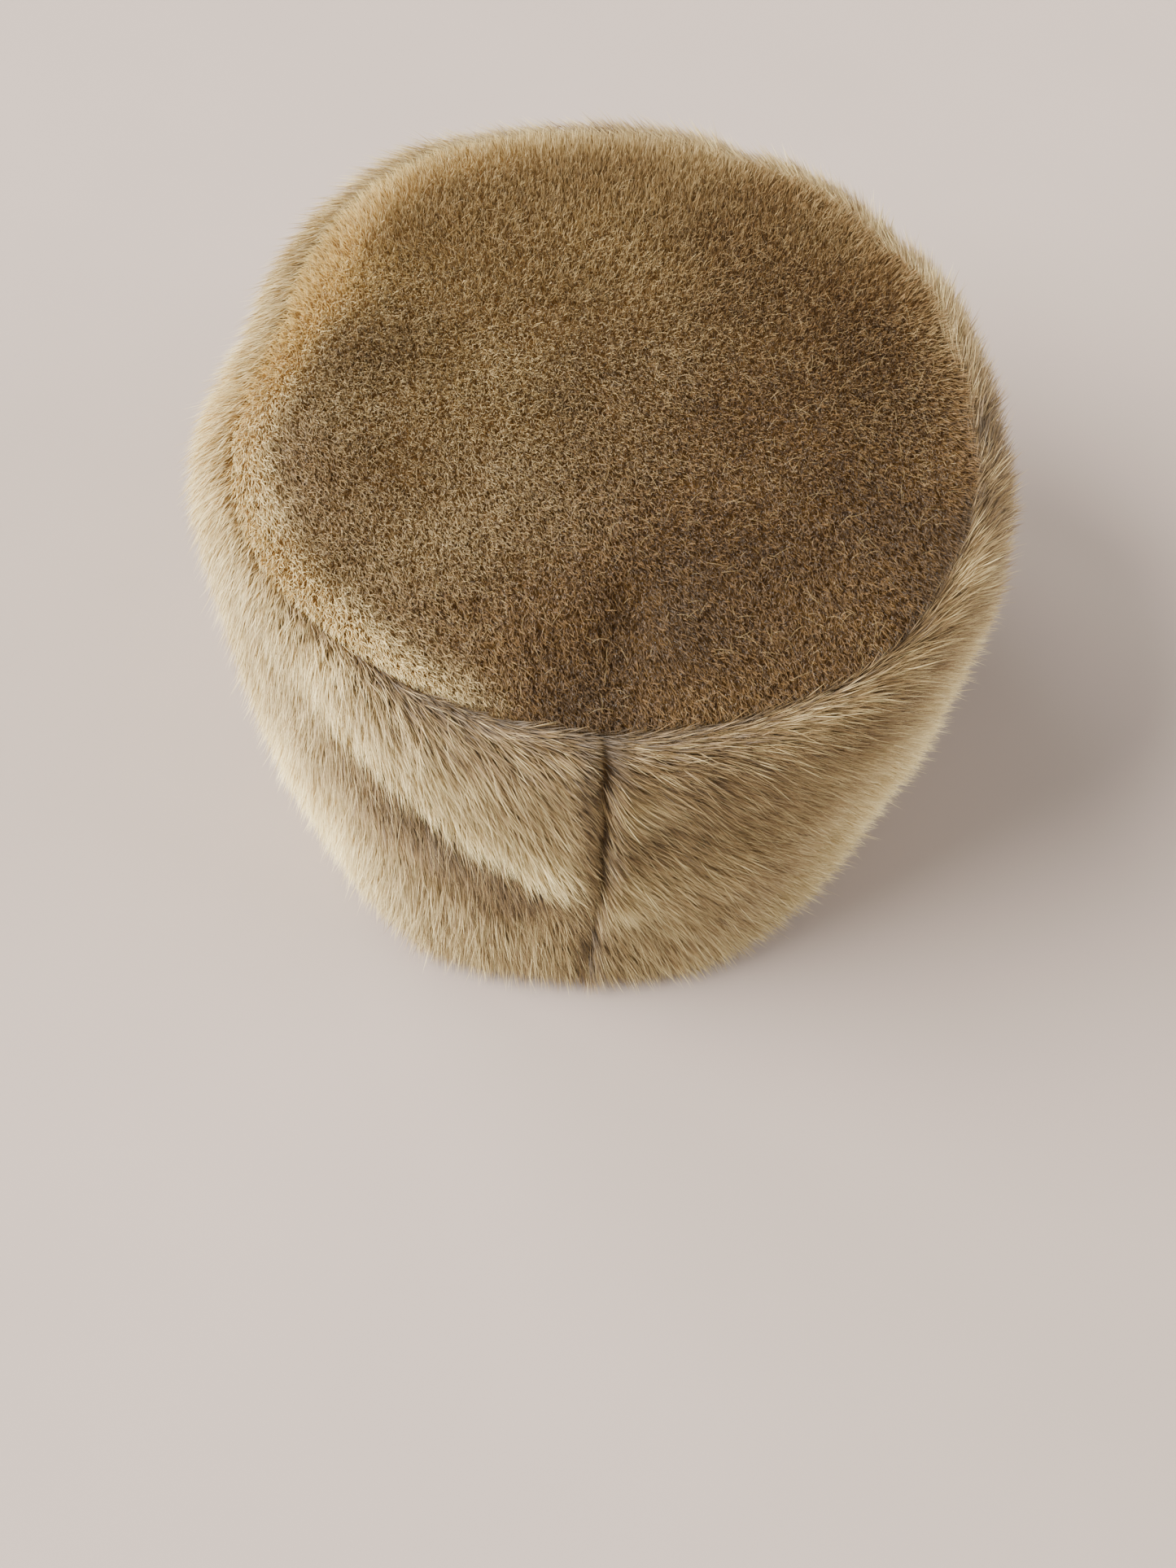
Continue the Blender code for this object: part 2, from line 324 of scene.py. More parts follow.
def band_relief(bearing, rise):
    """How far the swells and folds push the band out: a bell curve for each table row."""
    out = 0.0 * (bearing + rise)
    for place, level, spread, height, push in SWELLS:
        out = out + push * MM * soft(wrapped(bearing - place), spread) * soft(rise - level, height)
    across, up = unrolled(wrapped(bearing), rise)
    for from_bearing, from_rise, to_bearing, to_rise, width, push in BAND_FOLDS:
        start = unrolled(from_bearing, from_rise)
        end = unrolled(to_bearing, to_rise)
        out = out + push * MM * soft(line_distance(across, up, start, end), width * MM)
    return out


def outline(bearing, rise, inset):
    """Plan of the pile's outer face at a rise, moved in by an inset.

    The half axes go from the rim's to the crown's with the rise, plus a belly of
    4 * rise * (1 - rise) between them, and the centre slides over as the rise falls.
    """
    share = rise + MID_FULLNESS * 4.0 * rise * (1.0 - rise)
    out = band_relief(bearing, rise) - inset
    half_width = RIM_HALF_WIDTH + (CROWN_HALF_WIDTH - RIM_HALF_WIDTH) * share + out
    half_depth = RIM_HALF_DEPTH + (CROWN_HALF_DEPTH - RIM_HALF_DEPTH) * share + out
    x = half_width * np.sin(np.radians(bearing)) + RIM_SLIDE_X * (1.0 - rise) - OUTLINE_MIDDLE_X
    y = half_depth * np.cos(np.radians(bearing)) + RIM_SLIDE_Y * (1.0 - rise) - OUTLINE_MIDDLE_Y
    return x, y


def band_face(bearing, climb, face):
    """Points of a face of the band, climb going from 0 at its rim to 1 at the crown seam.

    Below the shoulder the height grows evenly and the inset is the face's depth.  The
    shoulder is a quarter of an ellipse from there in to the seam: with an angle a, the inset
    goes as 1 - cos(a) and the height as sin(a).  The back seam adds a bell-shaped groove.
    """
    bearing, climb = np.broadcast_arrays(bearing, climb)
    bottom = RIM_LIFT + RIM_BEND
    turn = np.clip((climb - 1.0) / SHOULDER_SHARE + 1.0, 0.0, 1.0) * math.pi / 2.0
    side = np.clip(climb / (1.0 - SHOULDER_SHARE), 0.0, 1.0)
    shoulder = 1.0 - np.cos(turn)
    top = BAND_HEIGHT - face.crown_depth
    height = bottom + (face.shoulder_start - bottom) * side
    height = height + (top - face.shoulder_start) * np.sin(turn)
    rise = height / BAND_HEIGHT
    rise = rise + (1.0 - rise) * shoulder
    aside = around(wrapped(bearing - back_seam_bearing(rise)))
    pressed_in = face.drawn_in * BACK_GROOVE_DEPTH * soft(aside, BACK_GROOVE_WIDTH)
    to_seam = seam_inset(bearing)
    inset = face.side_depth + (to_seam - face.side_depth) * shoulder + pressed_in * (1.0 - shoulder)
    x, y = outline(bearing, rise, inset)
    return np.stack([x, y, height], axis=-1)


def crown_relief(x, y):
    """How far the crown's soft folds lift it: a bell curve for each table row."""
    lift = 0.0 * x
    for from_x, from_y, to_x, to_y, width, push in CROWN_FOLDS:
        start = (from_x * MM, from_y * MM)
        end = (to_x * MM, to_y * MM)
        lift = lift + push * MM * soft(line_distance(x, y, start, end), width * MM)
    return lift


def crown_face(bearing, reach, face):
    """Points of a face of the crown, reach going from 0 in its middle to 1 at the seam.

    Each point is the seam's own point drawn to the middle by the reach, and its height is
    the seam's plus the dome's 1 - reach squared and the folds, less the face's depth.
    """
    bearing, reach = np.broadcast_arrays(bearing, reach)
    edge_x, edge_y = outline(bearing, 1.0, seam_inset(bearing) + SEAM_CLEARANCE)
    x = reach * edge_x
    y = reach * edge_y
    height = BAND_HEIGHT - face.crown_depth + CROWN_DOME * (1.0 - reach ** 2)
    height = height + crown_relief(x, y) * (1.0 - reach ** FOLD_FADE)
    return np.stack([x, y, height], axis=-1)


def facing(surface, first, second, face):
    """Unit normals of a face: the cross product of its two differences over small steps."""
    step_first = 0.2
    step_second = 0.002
    low = np.clip(second - step_second, 0.0, 1.0)
    high = np.clip(second + step_second, 0.0, 1.0)
    along_first = surface(first + step_first, second, face) - surface(first - step_first, second, face)
    along_second = surface(first, high, face) - surface(first, low, face)
    return unit(np.cross(along_second, along_first))


def random_table(seed, columns=1):
    """A fixed table of random numbers from 0 to 1."""
    return np.random.default_rng(seed).random((LATTICE, columns))


def lattice_key(*cells):
    """A row of a random table for each lattice cell, from its numbers times fixed steps."""
    key = 0
    for cell, step in zip(cells, LATTICE_STEPS):
        key = key ^ (cell * step)
    return key & (LATTICE - 1)


def patches(points, size, seed):
    """Smooth random values from -1 to 1 that change over about a size.

    Every corner of a lattice of cubes has a random value, and a point mixes those of the
    eight corners round it by weights of 3t^2 - 2t^3, t being its place in its cube.
    """
    values = random_table(seed)[:, 0] * 2.0 - 1.0
    cell = np.floor(points / size).astype(np.int64)
    place = points / size - cell
    weight = place * place * (3.0 - 2.0 * place)
    total = np.zeros(len(points))
    for corner in np.ndindex(2, 2, 2):
        share = np.prod(np.where(corner, weight, 1.0 - weight), axis=1)
        total += share * values[lattice_key(*(cell + corner).T)]
    return total


def varied(points, amount, over, table):
    """An amount times patches that change over some mm, from a table of random numbers."""
    return amount * patches(points, over * MM, table)


def near(distance, amount, over):
    """An amount that falls away over some mm with the distance from a seam."""
    return amount * soft(distance, over * MM)


def tufts(across, up, size, seed):
    """Where each root's tuft has its middle, as steps across and up, and the tuft's number.

    The middles are one random place in each cell of a square lattice, and a root belongs
    to the nearest of the nine round it.
    """
    table = random_table(seed, 3)
    cell_across = np.floor(across / size).astype(np.int64)
    cell_up = np.floor(up / size).astype(np.int64)
    nearest = np.full(len(across), np.inf)
    found = np.zeros((3, len(across)))
    for step_across in (-1, 0, 1):
        for step_up in (-1, 0, 1):
            row = table[lattice_key(cell_across + step_across, cell_up + step_up)]
            to_across = (cell_across + step_across + row[:, 0]) * size - across
            to_up = (cell_up + step_up + row[:, 1]) * size - up
            gap = np.hypot(to_across, to_up)
            closer = gap < nearest
            nearest = np.where(closer, gap, nearest)
            found = np.where(closer, np.stack([to_across, to_up, row[:, 2]]), found)
    return found


def mesh_object(name, points, faces, uvs=None, uv_name="OFBake"):
    """A mesh object at the origin from arrays of points, faces and, for each corner, a UV."""
    mesh = bpy.data.meshes.new(name)
    sides = faces.shape[1]
    mesh.vertices.add(len(points))
    mesh.vertices.foreach_set("co", points.astype(np.float32).ravel())
    mesh.loops.add(faces.size)
    mesh.loops.foreach_set("vertex_index", faces.astype(np.int32).ravel())
    mesh.polygons.add(len(faces))
    mesh.polygons.foreach_set("loop_start", np.arange(0, faces.size, sides, dtype=np.int32))
    if uvs is not None:
        layer = mesh.uv_layers.new(name=uv_name)
        layer.uv.foreach_set("vector", uvs.astype(np.float32).ravel())
    mesh.update(calc_edges=True)
    made = bpy.data.objects.new(name, mesh)
    bpy.context.scene.collection.objects.link(made)
    return made


def grid_faces(columns, rows):
    """Quads of a grid that closes on itself both ways, its points listed row by row."""
    column, row = np.meshgrid(np.arange(columns), np.arange(rows))
    beside = (column + 1) % columns
    above = (row + 1) % rows
    corners = (row * columns + column, above * columns + column,
               above * columns + beside, row * columns + beside)
    return np.stack([corner.ravel() for corner in corners], axis=1)


def dome_faces(columns, rows):
    """Triangles of a shell whose rows go from one middle point over its rim to another.

    The rows' points are listed row by row, then the two middle points.
    """
    quads = grid_faces(columns, rows)[:columns * (rows - 1)]
    column = np.arange(columns)
    beside = (column + 1) % columns
    first = np.full(columns, columns * rows)
    last = columns * (rows - 1)
    return np.concatenate([quads[:, (0, 1, 2)], quads[:, (0, 2, 3)],
                           np.stack([first, column, beside], axis=1),
                           np.stack([first + 1, last + beside, last + column], axis=1)])


def linear(hex_colour):
    """An sRGB hex colour as linear red, green and blue."""
    parts = [int(hex_colour[i:i + 2], 16) / 255.0 for i in (1, 3, 5)]
    return tuple(c / 12.92 if c <= 0.04045 else ((c + 0.055) / 1.055) ** 2.4 for c in parts)


def add_node(tree, kind, values=None, links=None, stops=None, **settings):
    """Add a node: its settings, its sockets' values, its links as (node, output), a ramp's stops."""
    made = tree.nodes.new(kind)
    for name, value in settings.items():
        setattr(made, name, value)
    for socket, value in (values or {}).items():
        made.inputs[socket].default_value = value
    for socket, (source, output) in (links or {}).items():
        tree.links.new(source.outputs[output], made.inputs[socket])
    if stops:
        elements = made.color_ramp.elements
        while len(elements) < len(stops):
            elements.new(0.5)
        for element, (position, colour) in zip(elements, stops):
            element.position = position
            element.color = (*colour, 1.0)
    return made


def new_material(name):
    """An empty node material and its tree."""
    material = bpy.data.materials.new(name)
    material.use_nodes = True
    material.node_tree.nodes.clear()
    return material, material.node_tree


def shade(tree, values, links):
    """End a material in a Principled shader with these sockets."""
    shader = add_node(tree, "ShaderNodeBsdfPrincipled", values=values, links=links)
    add_node(tree, "ShaderNodeOutputMaterial", links={"Surface": (shader, "BSDF")})


def pile_material(name, pile, cast):
    """Modacrylic pile, extruded, cut and heat-set: fine fibres with a soft waxy gloss.

    The map's height runs up each fibre and its width is the fibre's tone: deep shade up to
    SHADE_END, then a ramp up a dark fibre mixed with a ramp up a pale one.
    """
    material, tree = new_material(name)
    uv = add_node(tree, "ShaderNodeUVMap", uv_map="OFBake")
    parts = add_node(tree, "ShaderNodeSeparateXYZ", links={"Vector": (uv, "UV")})
    ramps = [add_node(tree, "ShaderNodeValToRGB", links={"Fac": (parts, "Y")}, stops=stops)
             for stops in (pile.dark_stops(cast), pile.pale_stops())]
    paler = add_node(tree, "ShaderNodeMapRange", {"From Min": SHADE_END}, {"Value": (parts, "X")})
    light = add_node(tree, "ShaderNodeMapRange", {"From Max": SHADE_END, "To Min": pile.deep_shade},
                     {"Value": (parts, "X")})
    mixed = add_node(tree, "ShaderNodeMix", data_type="RGBA",
                     links={"Factor": (paler, 0), "A": (ramps[0], "Color"), "B": (ramps[1], "Color")})
    shaded = add_node(tree, "ShaderNodeMix", {"Factor": 1.0}, {"A": (mixed, 2), "B": (light, 0)},
                      data_type="RGBA", blend_type="MULTIPLY")
    shade(tree, {"Roughness": 0.55, "IOR": 1.49, "Sheen Weight": 0.15, "Sheen Roughness": 0.5},
          {"Base Color": (shaded, 2)})
    return material


def mottled(tree, size, detail, dark, pale):
    """A noise of a size, on the piece's own coordinates, and its colours from dark to pale."""
    place = add_node(tree, "ShaderNodeTexCoord")
    noise = add_node(tree, "ShaderNodeTexNoise", {"Scale": 1.0 / size, "Detail": detail},
                     {"Vector": (place, "Object")})
    colour = add_node(tree, "ShaderNodeValToRGB", links={"Fac": (noise, "Fac")},
                      stops=((0.3, tuple(dark)), (0.7, tuple(pale))))
    return noise, colour


def underfur_material(fabric):
    """Dense curled underfur of the same modacrylic: matt, deep in shade between the fibres, with
    painted shade in the hollows of its curls.
    """
    material, tree = new_material("modacrylic_underfur")
    curl, colour = mottled(tree, 0.8 * MM, 4.0, fabric.underfur_hollow_shade, fabric.underfur_pale)
    bump = add_node(tree, "ShaderNodeBump", {"Strength": 0.8, "Distance": 0.5 * MM},
                    {"Height": (curl, "Fac")})
    shade(tree, {"Roughness": 0.95, "IOR": 1.49},
          {"Base Color": (colour, "Color"), "Normal": (bump, "Normal")})
    return material


def backing_material(fabric):
    """Warp-knitted polyester backing: matt, with ribs one way and closer ones across them."""
    material, tree = new_material("knitted_backing")
    uv = add_node(tree, "ShaderNodeUVMap", uv_map="Fabric")
    ribs = []
    for direction, spacing in (("X", fabric.wale_spacing), ("Y", fabric.wale_spacing * 0.75)):
        ribs.append(add_node(tree, "ShaderNodeTexWave", {"Scale": math.pi / (10.0 * spacing)},
                             {"Vector": (uv, "UV")}, bands_direction=direction))
    knit = add_node(tree, "ShaderNodeMath", operation="MULTIPLY",
                    links={0: (ribs[0], "Fac"), 1: (ribs[1], "Fac")})
    base = tuple(fabric.backing)
    # The knit's grooves between its ribs are darker: painted shade.
    shadow = tuple(0.55 * part for part in base)
    colour = add_node(tree, "ShaderNodeValToRGB", links={"Fac": (knit, "Value")},
                      stops=((0.0, shadow), (0.8, base)))
    bump = add_node(tree, "ShaderNodeBump", {"Strength": 0.6, "Distance": 0.4 * MM},
                    {"Height": (knit, "Value")})
    shade(tree, {"Roughness": 0.9, "IOR": 1.5},
          {"Base Color": (colour, "Color"), "Normal": (bump, "Normal")})
    return material


def floor_material(stage):
    """Matt painted board: pale and even, with a faint mottle from the roller."""
    material, tree = new_material("painted_board")
    shadow = [0.97 * part for part in stage.floor]
    colour = mottled(tree, 60.0 * MM, 3.0, shadow, stage.floor)[1]
    shade(tree, {"Roughness": 0.7, "IOR": 1.45}, {"Base Color": (colour, "Color")})
    return material


def hex_property(label, hex_colour, description):
    """A colour property whose default is an sRGB hex value."""
    return FloatVectorProperty(name=label, description=description, subtype="COLOR", size=3,
                               min=0.0, max=1.0, default=linear(hex_colour))


def length_property(label, metres, description):
    """A length property in metres."""
    return FloatProperty(name=label, description=description, unit="LENGTH", subtype="DISTANCE",
                         precision=5, min=0.0, default=metres)


def share_property(label, share, description):
    """A property from 0 to 1."""
    return FloatProperty(name=label, description=description, subtype="FACTOR",
                         min=0.0, max=1.0, default=share)


def count_property(label, count, description, least=1):
    """A number of fibres."""
    return IntProperty(name=label, description=description, min=least, default=count)


def angle_property(label, degrees, description):
    """An angle property, given in degrees."""
    return FloatProperty(name=label, description=description, subtype="ANGLE", unit="ROTATION",
                         default=math.radians(degrees))


class HatPile(PropertyGroup):
    """Sizes and colours of the pile."""
    band_length: length_property("Band pile", 0.0125, "Length of the band's fibres")
    crown_length: length_property("Crown pile", 0.0064, "Length of the crown's fibres")
    width: length_property("Fibre width", 0.00023, "Width of a drawn fibre, which stands for a few")
    guard_share: share_property("Guard hairs", 0.08, "Share of longer, paler fibres on the band")
    tuft: length_property("Tuft size", 0.0022, "Distance between the tufts that the tips make")
    band_blades: count_property("Band fibres", 280000, "Fibres drawn on the band")
    crown_blades: count_property("Crown fibres", 164000, "Fibres drawn on the crown")
    deep_shade: share_property("Deep shade", 0.35, "Brightness of the darkest fibres, as a share")
    stray_hairs: count_property("Stray hairs", 1400, "Long curled hairs that stand out", least=2)
    dark_root: hex_property("Dark root", "#5e4829", "Foot of a dark fibre")
    dark_middle: hex_property("Dark middle", "#7a5f38", "Middle of a dark fibre")
    dark_tip: hex_property("Dark tip", "#a48655", "Tip of a dark fibre")
    pale_root: hex_property("Pale root", "#c4a771", "Foot of a pale fibre")
    pale_middle: hex_property("Pale middle", "#e0c588", "Middle of a pale fibre")
    pale_tip: hex_property("Pale tip", "#fff0b6", "Tip of a pale fibre")
    band_cast: hex_property("Band cast", "#ffffff", "Cast of the band's dark fibres")
    # The crown's cast is partly its own warmer colour and partly painted shade on its dark fibres.
    crown_cast_and_shade: hex_property("Crown cast", "#eadabb", "Cast of the crown's shorn dark fibres")

    def dark_stops(self, cast):
        """A dark fibre's colours in a cast, each with its place from the root to the tip; the darker root
        is partly painted shade deep in the pile.
        """
        stops = ((0.2, self.dark_root), (0.6, self.dark_middle), (0.98, self.dark_tip))
        return [(place, tuple(np.multiply(colour, cast))) for place, colour in stops]

    def pale_stops(self):
        """A pale fibre's colours, each with its place from the root to the tip; the darker root is partly
        painted shade deep in the pile.
        """
        return (0.1, tuple(self.pale_root)), (0.5, tuple(self.pale_middle)), (0.9, tuple(self.pale_tip))


class HatFabric(PropertyGroup):
    """Colours of the fabric under the pile."""
    # The underfur's hollows get painted shade.
    underfur_hollow_shade: hex_property("Underfur shade", "#74552a", "Underfur in its hollows")
    underfur_pale: hex_property("Underfur light", "#9c763f", "Underfur on its curls")
    backing: hex_property("Backing", "#b8a78a", "Knitted side of the fabric")
    wale_spacing: length_property("Wale spacing", 0.0012, "Distance between the backing's wales")


class HatStage(PropertyGroup):
    """The studio: its floor, its lights and the camera."""
    floor: hex_property("Floor", "#b8a9a0", "Colour of the floor")
    daylight: hex_property("Daylight", "#fffaf3", "Colour of the lights")
    floor_size: length_property("Floor size", 8.0, "Side of the square floor")
    key_strength: FloatProperty(name="Key light", description="Strength of the wide side light",
                                min=0.0, default=10.9)
    fill_strength: FloatProperty(name="Fill", description="Strength of the even light", default=0.42)
    distance: length_property("Distance", 0.6269, "From the camera to the middle of the crown")
    elevation: angle_property("Elevation", 48.77, "Camera's height over the crown")
    pitch: angle_property("Pitch", 57.92, "How far down the camera looks")
    roll: angle_property("Roll", 3.10, "Camera's turn about its own axis")
    aside: FloatProperty(name="Aside", description="Camera's step to the side", unit="LENGTH",
                         default=0.00065, precision=5)
    lens: FloatProperty(name="Lens", description="Focal length for a 36 mm long side",
                        unit="CAMERA", default=54.10)


def band_lie(bearing, rise):
    """Degrees below level of the band's pile, from the table's rows and quarters."""
    table = np.array(BAND_LIE)
    from_seam = wrapped(bearing - back_seam_bearing(rise))
    levels = np.array([np.interp(from_seam, table[:, 0], column) for column in table[:, 1:].T])
    quarters = len(levels) - 1
    place = np.clip(rise, 0.0, 1.0) * quarters
    below = np.clip(place.astype(int), 0, quarters - 1)
    every = np.arange(len(below))
    return levels[below, every] + (levels[below + 1, every] - levels[below, every]) * (place - below)


def crown_lie(x, y):
    """Lean and turn of the crown's pile in degrees, and how much paler it is, partly as painted
    light and shade: the table's rows, each weighed by one over the cube of its distance plus 4 mm.
    """
    table = np.array(CROWN_LIE)
    gap = np.hypot(x[:, None] - table[:, 0] * MM, y[:, None] - table[:, 1] * MM)
    weight = 1.0 / (gap + 4.0 * MM) ** 3
    weight = weight / weight.sum(axis=1, keepdims=True)
    return (weight @ table[:, 2:]).T


def band_tone(bearing, rise):
    """How much paler the band's pile is: a bell curve for each spot, partly painted light and
    shade, and the creases, with painted light above them and painted shade below.

    Along a crease, with d the distance above its line and s = (1 + tanh(d / softness)) / 2,
    the tone is s times a pale bell curve of d, less 1 - s times a dark one.  The dark side
    grows from nothing at the line's start to its full strength halfway, and both fade past
    the line's ends.
    """
    paler = 0.0 * bearing
    for place, level, spread, height, share in BAND_TONES:
        paler = paler + share * soft(wrapped(bearing - place), spread) * soft(rise - level, height)
    across, up = np.array(unrolled(wrapped(bearing), rise)) / MM
    for from_bearing, from_rise, to_bearing, to_rise, pale, over, dark, under in CREASE_LIGHT_AND_SHADE:
        start = np.array(unrolled(from_bearing, from_rise)) / MM
        run = np.array(unrolled(to_bearing, to_rise)) / MM - start
        length = np.hypot(*run)
        along = ((across - start[0]) * run[0] + (up - start[1]) * run[1]) / length
        above = ((up - start[1]) * run[0] - (across - start[0]) * run[1]) / length * np.sign(run[0])
        beyond = np.maximum(-along, along - length).clip(0.0)
        switch = 0.5 + 0.5 * np.tanh(above / CREASE_SOFTNESS)
        growth = np.clip(2.0 * along / length, 0.0, 1.0)
        paler = paler + soft(beyond, CREASE_END) * (switch * pale * soft(above, over)
                                                    - (1.0 - switch) * dark * growth * soft(above, under))
    return paler


def crown_seam(bearing):
    """How far the pile parts along the crown seam, from 0 to 1, and how much paler it is, as
    painted light and shade.
    """
    places, parting, paler = zip(*CROWN_SEAM)
    return np.interp(wrapped(bearing), places, parting), np.interp(wrapped(bearing), places, paler)


def make_blades(name, roots, first, second, side, lengths, widths, tones):
    """One object of bent blades, each two triangles: root to middle, middle to tip.

    The middle lies at the bend, along the first direction, and the tip the rest of the length
    along the second.  The blade is widest at its middle, across the side vector, and its map
    is a column at its tone that runs from 0 at the root to 1 at the tip.  A tone goes from 0,
    dark, to 1, pale, and below 0 into deep shade.
    """
    middle = roots + first * (lengths * BEND)[:, None]
    tips = middle + second * (lengths * (1.0 - BEND))[:, None]
    half = side * (widths / 2.0)[:, None]
    points = np.stack([roots, middle - half, middle + half, tips], axis=1).reshape(-1, 3)
    start = np.arange(len(roots))[:, None] * 4
    faces = np.concatenate([start + (0, 2, 1), start + (1, 2, 3)], axis=1).reshape(-1, 3)
    map_columns = 64
    column = 1.0 / map_columns
    place = np.clip(SHADE_END + (1.0 - SHADE_END) * tones, 0.0, 1.0)
    centre = column / 2.0 + place * (1.0 - column)
    corner_u = np.array((0.0, 0.5, -0.5, -0.5, 0.5, 0.0)) * column
    corner_v = np.array((0.0, BEND, BEND, BEND, BEND, 1.0))
    u = centre[:, None] + corner_u
    v = np.broadcast_to(corner_v, u.shape)
    uvs = np.stack([u, v], axis=2).reshape(-1, 2)
    return mesh_object(name, points, faces, uvs)


def make_ribbons(name, starts, normals, heading, curl, lengths, lifts, width):
    """One object of curled ribbons that rise off a face and come back to it.

    A ribbon's heading turns evenly by its curl, its steps forward and aside are the sums of
    the heading's cosines and sines, and it stands off by its lift times sin(pi * share).
    """
    steps = 12
    tip_taper = 0.7
    level_way = (0.31, 0.95, 0.0)
    share = np.linspace(0.0, 1.0, steps + 1)
    turn = heading[:, None] + curl[:, None] * share
    stride = (lengths / steps)[:, None]
    forward = np.cumsum(np.cos(turn), axis=1) * stride
    aside = np.cumsum(np.sin(turn), axis=1) * stride
    first = unit(np.cross(normals, level_way))
    second = np.cross(normals, first)
    off = lifts[:, None] * np.sin(math.pi * share)
    path = starts[:, None] + (forward[..., None] * first[:, None] + aside[..., None] * second[:, None]
                              + off[..., None] * normals[:, None])
    side = unit(np.cross(np.gradient(path, axis=1), normals[:, None]))
    half = side * (0.5 * width * (1.0 - tip_taper * share ** 3))[:, None]
    points = np.stack([path - half, path + half], axis=2).reshape(-1, 3)
    start = (np.arange(len(starts))[:, None] * (steps + 1) + np.arange(steps)).reshape(-1, 1) * 2
    faces = start + (0, 1, 3, 2)
    v = np.tile(np.stack([share[:-1], share[:-1], share[1:], share[1:]], axis=1), (len(starts), 1))
    # On the pile's map they lie at one tone, and run from a fibre's middle towards its tip.
    tone, low, high = 0.45, 0.4, 0.8
    uvs = np.stack([tone + 0.0 * v, low + (high - low) * v], axis=2).reshape(-1, 2)
    return mesh_object(name, points, faces, uvs)


def band_roots(draw, count):
    """Bearings, climbs and points that the band's fibres stand on.

    The shoulder's fibres fan out over a wider arc than the fabric's, so it has more.
    """
    bearing = draw.uniform(-180.0, 180.0, count)
    climb = np.interp(draw.random(count), (0.0, SIDE_FIBRES, 1.0), (0.0, 1.0 - SHOULDER_SHARE, 1.0))
    return bearing, climb, band_face(bearing, climb, OUTER)


def band_ways(normal, bearing):
    """Two directions along the band: level, towards a falling bearing, and down."""
    level = unit(np.cross(normal, (0.0, 0.0, 1.0)))
    down = np.cross(level, normal)
    run = np.stack([np.cos(np.radians(bearing)), -np.sin(np.radians(bearing)),
                    np.zeros(len(bearing))], axis=1)
    level = level * np.sign(np.sum(level * -run, axis=1))[:, None]
    down = down * np.sign(-down[:, 2])[:, None]
    return level, down


def tilted(along, other, angle):
    """Directions turned by an angle from one way to another: along * cos + other * sin."""
    return along * np.cos(angle)[:, None] + other * np.sin(angle)[:, None]


def above_floor(draw, roots, first, second, lengths):
    """Lengths cut so that hardly a tip comes lower than a random height above the floor."""
    floor = draw.uniform(0.1, 0.9, len(roots)) * MM
    least = 0.4 * MM
    drop = -(first[:, 2] * BEND + second[:, 2] * (1.0 - BEND))
    room = np.clip(roots[:, 2] - floor, least, None)
    return np.where(drop * lengths > room, room / np.maximum(drop, 0.01), lengths)


def finish_piece(piece, materials):
    """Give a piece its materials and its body."""
    for material in materials:
        piece.data.materials.append(material)
    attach(piece, BODY)


def make_fabric(name, points, faces, uvs, inside, fabric):
    """One closed shell of fabric without its pile, knitted on the faces marked inside."""
    piece = mesh_object(name, points, faces, uvs, "Fabric")
    piece.data.polygons.foreach_set("material_index", inside.astype(np.int32))
    piece.data.shade_smooth()
    finish_piece(piece, (underfur_material(fabric), backing_material(fabric)))
    return piece


def make_pile(owners, slot, material, *blades):
    """One piece of blades for each name, out of the blades that it owns."""
    for name, own in owners:
        piece = make_blades(name, *(values[own] for values in blades))
        finish_piece(piece, (material,))


def rolled_side(first, normal, roll):
    """Side vectors of blades: across fibre and normal, then turned about the fibre by a roll."""
    level = unit(np.cross(first, normal))
    return tilted(level, np.cross(level, first), roll)


class HAT_OT_band_skin(Operator):
    """Make the band's fur fabric without its pile: a closed shell, knitted side inwards."""
    bl_idname = "hat.band_skin"
    bl_label = "Band Fabric"

    def execute(self, context):
        columns = 240
        steps = 36
        bends = 6
        bearing = np.arange(columns) * 360.0 / columns
        climbs = np.linspace(0.0, 1.0, steps)
        rows = [band_face(bearing, climb, OUTER) for climb in climbs]
        rows += [band_face(bearing, climb, INNER) for climb in climbs[::-1]]
        low_inner = band_face(bearing, 0.0, INNER)
        low_outer = band_face(bearing, 0.0, OUTER)
        for angle in np.linspace(0.0, math.pi, bends)[1:-1]:
            share = (1.0 - math.cos(angle)) / 2.0
            row = low_inner + (low_outer - low_inner) * share
            row[:, 2] -= RIM_BEND * math.sin(angle)
            rows.append(row)
        points = np.array(rows)
        faces = grid_faces(columns, len(rows))
        row_of = faces[:, 0] // columns
        corners = faces.reshape(-1)
        u = around(bearing)[corners % columns]
        u = np.where((corners % columns == 0) & np.tile((False, False, True, True), len(faces)),
                     around(360.0), u)
        v = points.reshape(-1, 3)[corners, 2]
        inside = (row_of >= steps) & (row_of < 2 * steps)
        piece = make_fabric("band_fabric", points.reshape(-1, 3), faces, np.stack([u, v], axis=1),
                            inside, context.scene.hat_fabric)
        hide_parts("side_band")
        return {"FINISHED"}


class HAT_OT_crown_skin(Operator):
    """Make the crown's fur fabric without its pile: a closed panel, knitted side down."""
    bl_idname = "hat.crown_skin"
    bl_label = "Crown Fabric"

    def execute(self, context):
        columns = 240
        steps = 28
        bearing = np.arange(columns) * 360.0 / columns
        reaches = np.sin(np.linspace(0.0, 0.5 * math.pi, steps + 1)[1:])
        rows = [crown_face(bearing, reach, INNER) for reach in reaches]
        rows += [crown_face(bearing, reach, OUTER) for reach in reaches[::-1]]
        middles = [crown_face(0.0, 0.0, face) for face in (INNER, OUTER)]
        points = np.concatenate([np.array(rows).reshape(-1, 3), middles])
        faces = dome_faces(columns, len(rows))
        inside = (faces.min(axis=1) < columns * steps) & (faces.max(axis=1) != len(points) - 1)
        piece = make_fabric("crown_fabric", points, faces, points[faces.reshape(-1), :2],
                            inside, context.scene.hat_fabric)
        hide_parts("crown_top")
        return {"FINISHED"}


